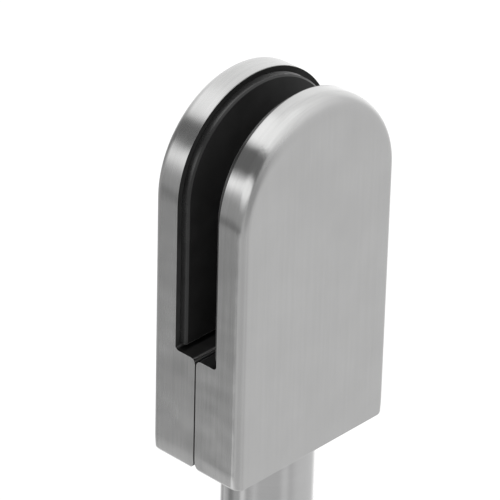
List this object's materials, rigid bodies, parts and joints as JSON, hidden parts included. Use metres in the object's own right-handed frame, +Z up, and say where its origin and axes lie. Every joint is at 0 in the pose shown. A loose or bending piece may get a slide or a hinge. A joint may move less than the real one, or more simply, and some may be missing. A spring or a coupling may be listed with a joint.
{
  "type": "glass panel clamp",
  "caption": "Stem-mounted stainless clamp whose arched jaws grip a glass panel between rubber gaskets, closed by countersunk screws.",
  "frame": {"origin": "centre of the stem's lower end", "axes": "+Z up along the stem's axis, X along the width of the jaws and in the plane of the glass, +Y from the front jaw to the rear jaw with the screw heads"},
  "size_m": [0.05, 0.0276, 0.152],
  "materials": {
    "brushed_stainless": "vertical satin brushing, edges polished",
    "turned_stainless": "turned and satin polished",
    "screw_stainless": "plain machined",
    "black_rubber": "matt black moulded rubber"
  },
  "bodies": {
    "front_half": {"front_jaw": "brushed_stainless", "front_gasket": "black_rubber", "stem": "turned_stainless"},
    "rear_half": {"rear_jaw": "brushed_stainless", "rear_gasket": "black_rubber"},
    "left_screw": {"left_clamp_screw": "screw_stainless"},
    "right_screw": {"right_clamp_screw": "screw_stainless"}
  },
  "joints": [
    {"name": "jaw_slide", "type": "slide", "parent": "front_half", "child": "rear_half", "axis": [0, 1, 0], "range_m": [0, 0.004]},
    {"name": "left_screw_turn", "type": "hinge", "parent": "rear_half", "child": "left_screw", "pos_m": [-0.015, 0.01365, 0.075], "axis": [0, 1, 0], "range_deg": [0, 1440]},
    {"name": "right_screw_turn", "type": "hinge", "parent": "rear_half", "child": "right_screw", "pos_m": [0.015, 0.01365, 0.075], "axis": [0, 1, 0], "range_deg": [0, 1440]}
  ],
  "couplings": [
    {"joint": "left_screw_turn", "follows": "jaw_slide", "rad_per_m": 6283.2},
    {"joint": "right_screw_turn", "follows": "jaw_slide", "rad_per_m": 6283.2}
  ]
}
